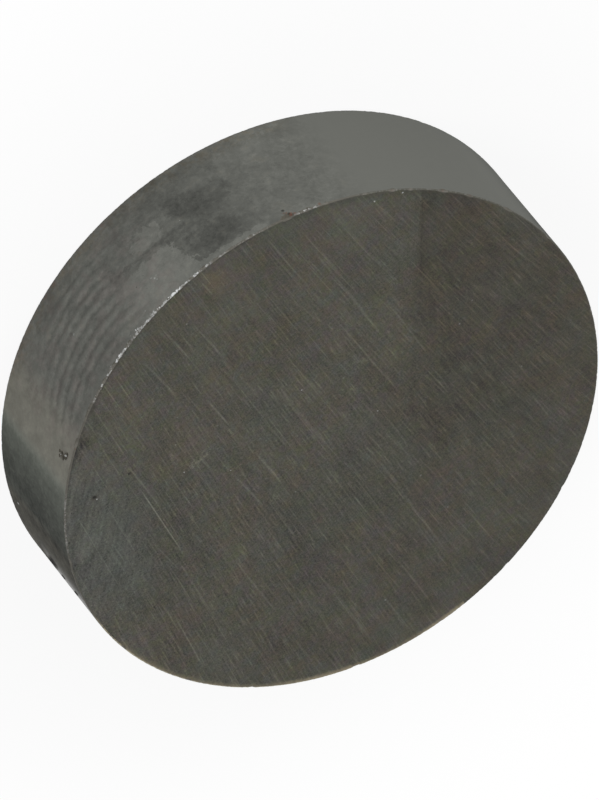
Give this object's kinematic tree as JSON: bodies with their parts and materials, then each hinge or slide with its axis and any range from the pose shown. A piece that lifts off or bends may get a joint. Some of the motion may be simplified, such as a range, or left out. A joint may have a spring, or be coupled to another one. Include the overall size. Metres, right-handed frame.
{
  "type": "disc magnet",
  "caption": "Flat round ferrite magnet with ground pole faces, a plain straight wall and small chips in both rims.",
  "frame": {"origin": "centre of the lower pole face, on the surface that the disc rests on", "axes": "+Z along the disc's axis and its magnetising direction, out of the upper pole face; the grinding lines on the upper face run along Y"},
  "size_m": [0.02, 0.02, 0.005],
  "materials": {
    "ferrite": "ground dull dark grey ferrite, with a smoother wall"
  },
  "bodies": {
    "root": {"magnet": "ferrite"}
  },
  "joints": []
}
